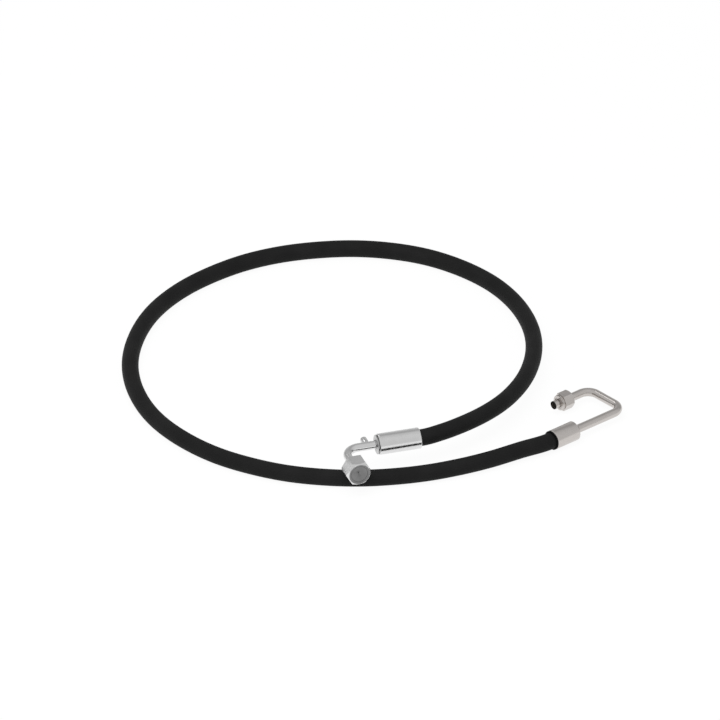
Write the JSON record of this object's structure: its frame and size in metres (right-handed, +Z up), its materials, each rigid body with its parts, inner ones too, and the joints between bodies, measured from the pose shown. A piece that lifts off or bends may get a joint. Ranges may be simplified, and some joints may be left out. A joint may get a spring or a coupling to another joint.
{
  "type": "hydraulic hose assembly",
  "caption": "Stiff black hydraulic hose in an open loop, with a crimped swivel-nut elbow on one end and a crimped bent-back steel tube with a male tube nut on the other.",
  "frame": {"origin": "on the floor that the assembly lies on, under the middle of the box round its two end fittings", "axes": "+X along the longer side of the box round the two end fittings, towards the bent tube; +Y from the fittings towards the far side of the hose loop; +Z up from the floor"},
  "size_m": [0.5804, 0.5435, 0.0457],
  "materials": {
    "cover_rubber": "matte black rubber",
    "liner_rubber": "smooth black rubber",
    "braid_wire": "brassed steel wire",
    "zinc_plated_steel": "bright zinc plate",
    "nickel_plated_steel": "satin zinc-nickel plate"
  },
  "bodies": {
    "assembly": {"hose_cover": "cover_rubber", "outer_braid": "braid_wire", "ply_rubber": "liner_rubber", "inner_braid": "braid_wire", "inner_tube": "liner_rubber", "elbow_ferrule": "zinc_plated_steel", "elbow_stem": "zinc_plated_steel", "elbow_tube": "zinc_plated_steel", "locating_peg": "zinc_plated_steel", "seat_nipple": "zinc_plated_steel", "tube_ferrule": "nickel_plated_steel", "tube_stem": "nickel_plated_steel", "mouth_ring": "cover_rubber", "bent_tube": "nickel_plated_steel", "thrust_sleeve": "nickel_plated_steel", "tip_seal": "cover_rubber"},
    "elbow_nut": {"swivel_nut": "zinc_plated_steel"},
    "pipe_nut": {"tube_nut": "nickel_plated_steel"}
  },
  "joints": [
    {"name": "swivel_nut_spin", "type": "hinge", "parent": "assembly", "child": "elbow_nut", "pos_m": [-0.14174, -0.107, 0.032], "axis": [0.3297, -0.9441, 0], "continuous": true},
    {"name": "tube_nut_spin", "type": "hinge", "parent": "assembly", "child": "pipe_nut", "pos_m": [0.08267, 0.07691, 0.0116], "axis": [-0.7694, -0.6388, 0], "continuous": true}
  ]
}
